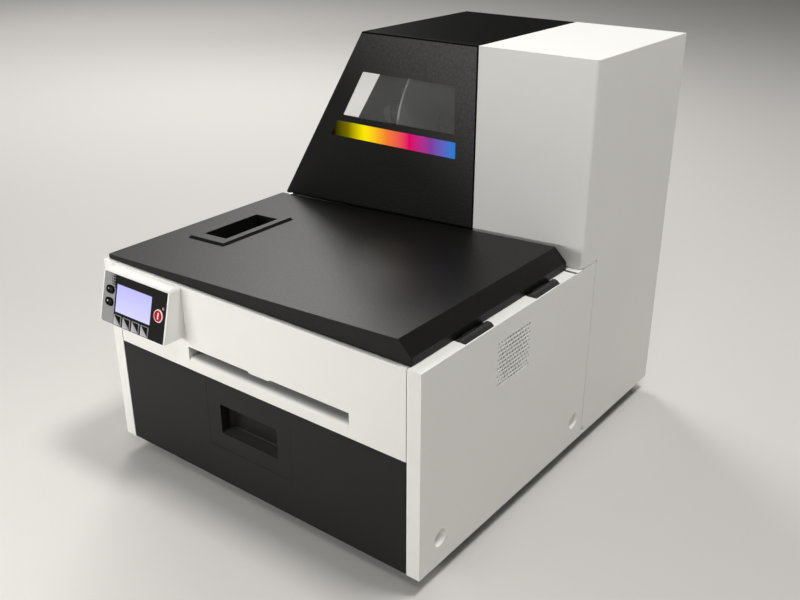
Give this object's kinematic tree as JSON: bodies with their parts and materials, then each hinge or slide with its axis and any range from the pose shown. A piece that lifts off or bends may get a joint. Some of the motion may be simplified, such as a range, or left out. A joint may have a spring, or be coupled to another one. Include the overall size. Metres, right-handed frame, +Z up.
{
  "type": "label printer",
  "caption": "Desktop roll label printer with sloped hinged lid, slanted media cover with window, tilted control panel, label slot, drop-down front door and roll spindle.",
  "frame": {"origin": "under the middle of the whole object, at the bottom of the feet", "axes": "+X to the right seen from the front, +Y from the front to the rear, +Z up"},
  "size_m": [0.44, 0.5502, 0.4685],
  "materials": {
    "white_paint": "fine powder coat",
    "white_plastic": "satin moulded",
    "black_paint": "wrinkled powder coat",
    "black_plastic": "satin moulded",
    "zinc_steel": "zinc plated sheet",
    "hinge_steel": "black coated",
    "bright_steel": "turned",
    "aluminium": "satin",
    "motor_steel": "satin",
    "rubber": "matt",
    "overlay": "printed film with a grey left strip",
    "screen": "backlit",
    "red_lens": "glossy",
    "grey_key": "satin",
    "black_key": "glossy",
    "smoked_glass": "smoked",
    "strip": "printed gradient",
    "grey_plastic": "satin",
    "tank_plastic": "translucent look",
    "board": "solder mask"
  },
  "bodies": {
    "cabinet": {"left_side_panel": "white_paint", "right_side_panel": "white_paint", "front_panel": "white_paint", "tower_shell": "white_paint", "tower_top": "white_paint", "rear_panel": "white_paint", "panel_housing": "white_plastic", "fan_frame": "white_plastic", "print_head": "black_plastic", "power_inlet": "black_plastic", "base_tray": "zinc_steel", "engine_deck": "zinc_steel", "media_deck": "zinc_steel", "media_wall": "zinc_steel", "engine_left_plate": "zinc_steel", "engine_right_plate": "zinc_steel", "lid_hinge_brackets": "hinge_steel", "cover_hinge_brackets": "hinge_steel", "hinge_pins": "bright_steel", "door_pivots": "bright_steel", "rear_screws": "bright_steel", "platen": "aluminium", "power_supply": "aluminium", "spindle_bearing": "aluminium", "feed_motor": "motor_steel", "feet": "rubber", "drive_belt": "rubber", "panel_overlay": "overlay", "display": "screen", "power_lamp": "red_lens", "ink_bay": "grey_plastic", "data_ports": "grey_plastic", "ink_tanks": "tank_plastic", "main_board": "board"},
    "lid": {"lid": "black_paint", "lid_handle": "black_plastic", "lid_hinge_leaves": "hinge_steel"},
    "media_cover": {"media_cover": "black_paint", "cover_top": "black_paint", "front_window": "smoked_glass", "side_window": "smoked_glass", "colour_strip": "strip", "cover_hinge_leaves": "hinge_steel"},
    "front_door": {"front_door": "black_paint", "door_handle": "black_plastic"},
    "soft_key_1": {"soft_key_1": "grey_key"},
    "soft_key_2": {"soft_key_2": "grey_key"},
    "soft_key_3": {"soft_key_3": "grey_key"},
    "soft_key_4": {"soft_key_4": "grey_key"},
    "upper_menu_key": {"upper_menu_key": "black_key"},
    "lower_menu_key": {"lower_menu_key": "black_key"},
    "power_button": {"power_button": "red_lens"},
    "spindle": {"spindle": "aluminium", "fixed_flange": "grey_plastic"},
    "sliding_flange": {"sliding_flange": "grey_plastic"},
    "feed_roller": {"feed_roller": "rubber"},
    "pinch_roller": {"pinch_roller": "rubber"},
    "exit_roller": {"exit_roller": "rubber"},
    "motor_pulley": {"motor_pulley": "aluminium"},
    "fan_rotor": {"fan_rotor": "black_plastic"}
  },
  "joints": [
    {"name": "lid_hinge", "type": "hinge", "parent": "cabinet", "child": "lid", "pos_m": [0.212, -0.09743, 0.241], "axis": [0, 1, 0], "range_deg": [0, 95]},
    {"name": "cover_hinge", "type": "hinge", "parent": "cabinet", "child": "media_cover", "pos_m": [0, 0.27157, 0.463], "axis": [-1, 0, 0], "range_deg": [0, 75]},
    {"name": "door_hinge", "type": "hinge", "parent": "cabinet", "child": "front_door", "pos_m": [0, -0.24043, 0.024], "axis": [1, 0, 0], "range_deg": [0, 90]},
    {"name": "soft_key_1_press", "type": "slide", "parent": "cabinet", "child": "soft_key_1", "axis": [0, 0.9677, -0.252], "range_m": [0, 0.0008], "stiffness_N_per_m": 800},
    {"name": "soft_key_2_press", "type": "slide", "parent": "cabinet", "child": "soft_key_2", "axis": [0, 0.9677, -0.252], "range_m": [0, 0.0008], "stiffness_N_per_m": 800},
    {"name": "soft_key_3_press", "type": "slide", "parent": "cabinet", "child": "soft_key_3", "axis": [0, 0.9677, -0.252], "range_m": [0, 0.0008], "stiffness_N_per_m": 800},
    {"name": "soft_key_4_press", "type": "slide", "parent": "cabinet", "child": "soft_key_4", "axis": [0, 0.9677, -0.252], "range_m": [0, 0.0008], "stiffness_N_per_m": 800},
    {"name": "upper_menu_key_press", "type": "slide", "parent": "cabinet", "child": "upper_menu_key", "axis": [0, 0.9677, -0.252], "range_m": [0, 0.0008], "stiffness_N_per_m": 800},
    {"name": "lower_menu_key_press", "type": "slide", "parent": "cabinet", "child": "lower_menu_key", "axis": [0, 0.9677, -0.252], "range_m": [0, 0.0008], "stiffness_N_per_m": 800},
    {"name": "power_button_press", "type": "slide", "parent": "cabinet", "child": "power_button", "axis": [0, 0.9677, -0.252], "range_m": [0, 0.0008], "stiffness_N_per_m": 800},
    {"name": "spindle_turn", "type": "hinge", "parent": "cabinet", "child": "spindle", "pos_m": [0, 0.16257, 0.346], "axis": [1, 0, 0], "continuous": true},
    {"name": "flange_slide", "type": "slide", "parent": "spindle", "child": "sliding_flange", "axis": [1, 0, 0], "range_m": [-0.038, 0.134]},
    {"name": "feed_turn", "type": "hinge", "parent": "cabinet", "child": "feed_roller", "pos_m": [0, -0.01043, 0.159], "axis": [1, 0, 0], "continuous": true},
    {"name": "pinch_turn", "type": "hinge", "parent": "cabinet", "child": "pinch_roller", "pos_m": [0, -0.01043, 0.1754], "axis": [1, 0, 0], "continuous": true},
    {"name": "exit_turn", "type": "hinge", "parent": "cabinet", "child": "exit_roller", "pos_m": [0, -0.18543, 0.159], "axis": [1, 0, 0], "continuous": true},
    {"name": "motor_turn", "type": "hinge", "parent": "cabinet", "child": "motor_pulley", "pos_m": [0, -0.14143, 0.1685], "axis": [1, 0, 0], "continuous": true},
    {"name": "fan_turn", "type": "hinge", "parent": "cabinet", "child": "fan_rotor", "pos_m": [0.21, -0.08843, 0.1985], "axis": [1, 0, 0], "continuous": true}
  ],
  "couplings": [
    {"joint": "pinch_turn", "follows": "feed_turn", "ratio": -1.2857},
    {"joint": "exit_turn", "follows": "feed_turn", "ratio": 1},
    {"joint": "motor_turn", "follows": "feed_turn", "ratio": 1}
  ]
}
